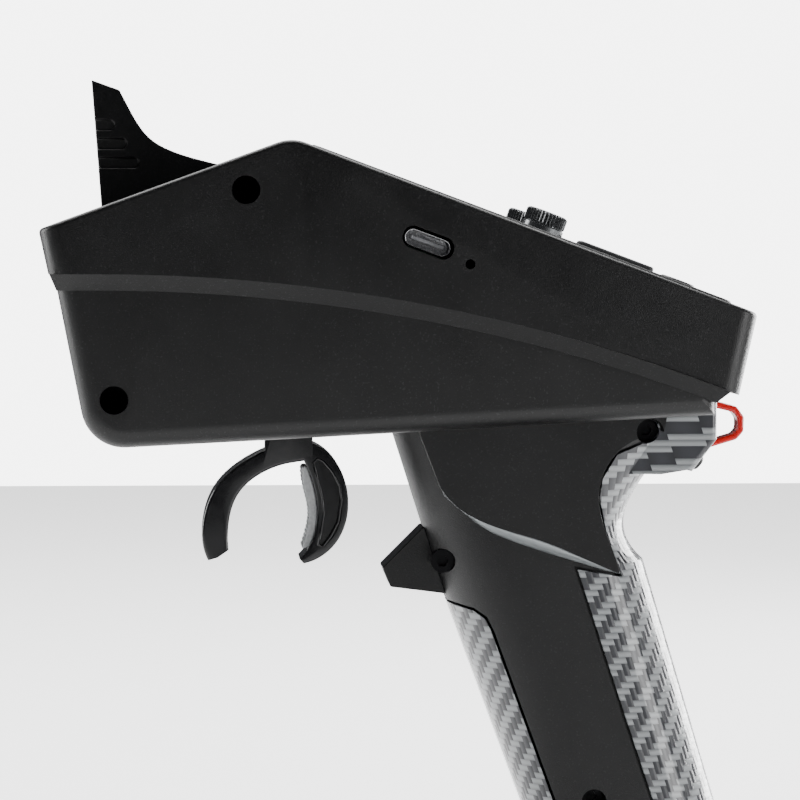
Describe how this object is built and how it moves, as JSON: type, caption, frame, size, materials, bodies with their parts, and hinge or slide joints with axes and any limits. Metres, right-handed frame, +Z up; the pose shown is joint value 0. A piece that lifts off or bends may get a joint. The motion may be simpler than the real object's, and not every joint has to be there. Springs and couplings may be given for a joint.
{
  "type": "pistol-grip radio transmitter",
  "caption": "Handheld pistol-grip radio control transmitter with foam steering wheel, finger trigger, sloped control panel, aerial fin, carbon-look grip and battery foot",
  "frame": {"origin": "middle of the foot's underside, where the transmitter stands on its four pads", "axes": "+Z up, +X towards the driver's hand and rear edge of the head, -Y the transmitter's left side; the steering wheel is on +Y"},
  "size_m": [0.1415, 0.114, 0.1807],
  "materials": {
    "housing_black": "fine textured, satin",
    "panel_black": "satin",
    "screen_glass": "polished",
    "key_grey": "satin",
    "power_accent": "satin",
    "knob_black": "knurled, gloss",
    "trigger_gloss": "polished",
    "soft_pad": "dotted, matte",
    "carbon_weave": "woven carbon look, clear gloss",
    "loop_red": "glossy red",
    "wheel_plastic": "satin",
    "wheel_foam": "foam, matte",
    "steel": "turned",
    "blackened_steel": "black oxide",
    "port_metal": "plated",
    "board_green": "solder resist",
    "part_black": "moulded",
    "nylon_white": "moulded",
    "magnet": "nickel plated",
    "battery_wrap": "shrink wrap",
    "lead_jacket": "soft"
  },
  "bodies": {
    "root": {"head_left_shell": "housing_black", "head_right_shell": "housing_black", "top_panel": "panel_black", "screen_lens": "screen_glass", "display_module": "part_black", "main_board": "board_green", "radio_module": "port_metal", "buzzer": "part_black", "reset_switch": "part_black", "usb_c_port": "port_metal", "key_switches": "part_black", "trim_forks": "nylon_white", "knob_pots": "part_black", "fin_antenna_cover": "housing_black", "antenna_board": "board_green", "antenna_cable": "lead_jacket", "wheel_pod": "housing_black", "steering_housing": "nylon_white", "steering_bearings": "steel", "steering_spring": "steel", "steering_sensor": "board_green", "sensor_posts": "nylon_white", "trigger_frame": "nylon_white", "trigger_spring": "steel", "neck_plate_left": "housing_black", "neck_plate_right": "housing_black", "grip_left_shell": "housing_black", "grip_right_shell": "housing_black", "rear_grip_inlay": "carbon_weave", "front_grip_inlay": "carbon_weave", "finger_spur": "housing_black", "lanyard_loop": "loop_red", "thumb_switch": "part_black", "tail_block": "carbon_weave", "case_screws": "blackened_steel", "grip_screws": "blackened_steel", "foot_shell": "housing_black", "battery": "battery_wrap", "foot_pads": "soft_pad", "battery_lead": "lead_jacket"},
    "steering_wheel": {"steering_shaft": "steel", "steering_magnet": "magnet", "wheel_rim": "wheel_plastic", "wheel_grip": "wheel_foam", "wheel_nut": "blackened_steel"},
    "trigger": {"trigger_yoke": "trigger_gloss", "throttle_arm": "trigger_gloss", "trigger_pad": "soft_pad", "trigger_pin": "steel"},
    "left_knob": {"knob_left": "knob_black"},
    "right_knob": {"knob_right": "knob_black"},
    "back_key": {"key_back": "key_grey"},
    "enter_key": {"key_enter": "key_grey"},
    "menu_key": {"key_menu": "key_grey"},
    "power_key": {"power_button": "power_accent"},
    "throttle_trim_rocker": {"throttle_trim": "key_grey"},
    "steering_trim_rocker": {"steering_trim": "key_grey"},
    "thumb_key": {"thumb_button": "soft_pad"},
    "battery_door": {"battery_cover": "housing_black", "cover_pad": "soft_pad"}
  },
  "joints": [
    {"name": "steering", "type": "hinge", "parent": "root", "child": "steering_wheel", "pos_m": [-0.056, 0.06, 0.1395], "axis": [0, 1, 0], "range_deg": [-35, 35], "stiffness_Nm_per_rad": 0.12},
    {"name": "throttle", "type": "hinge", "parent": "root", "child": "trigger", "pos_m": [-0.0575, 0, 0.1185], "axis": [0, -1, 0], "range_deg": [-12, 24], "stiffness_Nm_per_rad": 0.15},
    {"name": "left_knob_turn", "type": "hinge", "parent": "root", "child": "left_knob", "pos_m": [-0.01077, -0.02, 0.15143], "axis": [0.3502, 0, 0.9367], "range_deg": [-140, 140]},
    {"name": "right_knob_turn", "type": "hinge", "parent": "root", "child": "right_knob", "pos_m": [-0.01077, 0.02, 0.15143], "axis": [0.3502, 0, 0.9367], "range_deg": [-140, 140]},
    {"name": "back_key_press", "type": "slide", "parent": "root", "child": "back_key", "axis": [-0.3502, 0, -0.9367], "range_m": [0, 0.0006], "stiffness_N_per_m": 800},
    {"name": "enter_key_press", "type": "slide", "parent": "root", "child": "enter_key", "axis": [-0.3502, 0, -0.9367], "range_m": [0, 0.0006], "stiffness_N_per_m": 800},
    {"name": "menu_key_press", "type": "slide", "parent": "root", "child": "menu_key", "axis": [-0.3502, 0, -0.9367], "range_m": [0, 0.0006], "stiffness_N_per_m": 800},
    {"name": "power_key_press", "type": "slide", "parent": "root", "child": "power_key", "axis": [-0.3502, 0, -0.9367], "range_m": [0, 0.0006], "stiffness_N_per_m": 800},
    {"name": "throttle_trim_tilt", "type": "hinge", "parent": "root", "child": "throttle_trim_rocker", "pos_m": [0.00188, -0.017, 0.14243], "axis": [0, 1, 0], "range_deg": [-4, 4], "stiffness_Nm_per_rad": 0.02},
    {"name": "steering_trim_tilt", "type": "hinge", "parent": "root", "child": "steering_trim_rocker", "pos_m": [0.00188, 0.017, 0.14243], "axis": [0, 1, 0], "range_deg": [-4, 4], "stiffness_Nm_per_rad": 0.02},
    {"name": "thumb_key_press", "type": "slide", "parent": "root", "child": "thumb_key", "axis": [-0.7921, 0, 0.6103], "range_m": [0, 0.0008], "stiffness_N_per_m": 800},
    {"name": "battery_door_slide", "type": "slide", "parent": "root", "child": "battery_door", "axis": [-1, 0, 0], "range_m": [0, 0.04]}
  ]
}
